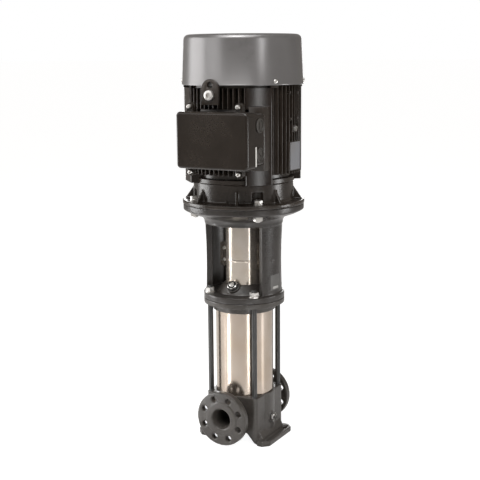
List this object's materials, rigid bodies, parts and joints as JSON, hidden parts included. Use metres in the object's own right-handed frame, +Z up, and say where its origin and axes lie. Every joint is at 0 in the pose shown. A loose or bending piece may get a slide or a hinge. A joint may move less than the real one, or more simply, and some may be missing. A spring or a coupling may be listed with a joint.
{
  "type": "vertical multistage pump",
  "caption": "Vertical in-line multistage centrifugal pump with flanged ports, stainless sleeve, tie rods, motor stool and a finned electric motor.",
  "frame": {"origin": "on the floor plane under the shaft axis, centred between the four anchor holes of the pump base", "axes": "+Z up along the shaft, -Y towards the suction port, +Y towards the discharge port, +X to the right seen from the suction side"},
  "size_m": [0.364, 0.4524, 1.221],
  "materials": {
    "cast_black": "satin black paint on cast iron",
    "cover_grey": "satin grey coating on sheet steel",
    "stainless": "brushed stainless",
    "rod_black": "black coated steel",
    "zinc_steel": "bright zinc-plated steel",
    "machined_steel": "machined steel",
    "seal_ceramic": "lapped hard seal faces",
    "rubber_black": "matte",
    "winding_copper": "varnished copper",
    "moulded_plastic": "matte moulded"
  },
  "bodies": {
    "pump": {"pump_base": "cast_black", "drain_plug": "zinc_steel", "outer_sleeve": "stainless", "tie_rods": "rod_black", "tie_rod_nuts": "zinc_steel", "pump_head": "cast_black", "vent_plug": "zinc_steel", "motor_stool": "cast_black", "guard_front": "stainless", "guard_back": "stainless", "drive_end_shield": "cast_black", "flange_bolts": "zinc_steel", "flange_nuts": "zinc_steel", "motor_frame": "cast_black", "end_shield": "cast_black", "fan_cover": "cover_grey", "terminal_box": "cast_black", "terminal_box_lid": "cast_black", "entry_plugs": "cast_black", "lifting_lugs": "cast_black", "inlet_ring": "stainless", "chamber_1": "stainless", "chamber_2": "stainless", "chamber_3": "stainless", "chamber_4": "stainless", "chamber_5": "stainless", "neck_rings": "stainless", "seal_seat": "seal_ceramic", "stator_core": "machined_steel", "end_windings": "winding_copper", "bearing_outer_rings": "machined_steel", "terminal_board": "moulded_plastic", "terminal_box_gasket": "rubber_black", "sleeve_gaskets": "rubber_black", "drain_plug_ring": "rubber_black", "vent_plug_ring": "rubber_black", "lid_screws": "zinc_steel", "guard_screws": "zinc_steel", "fan_cover_screws": "zinc_steel", "lug_screws": "zinc_steel", "nameplate": "stainless", "earth_screw": "zinc_steel", "tie_rod_washers": "zinc_steel", "flange_washers": "zinc_steel"},
    "rotor": {"motor_shaft": "machined_steel", "fan": "moulded_plastic", "pump_shaft": "machined_steel", "impeller_1": "stainless", "impeller_2": "stainless", "impeller_3": "stainless", "impeller_4": "stainless", "impeller_5": "stainless", "seal_ring": "seal_ceramic", "coupling_half_front": "cast_black", "coupling_half_back": "cast_black", "coupling_screws": "zinc_steel", "rotor_core": "machined_steel", "bearing_inner_rings": "machined_steel"}
  },
  "joints": [
    {"name": "rotor_spin", "type": "hinge", "parent": "pump", "child": "rotor", "pos_m": [0, 0, 0.62], "axis": [0, 0, 1], "continuous": true}
  ]
}
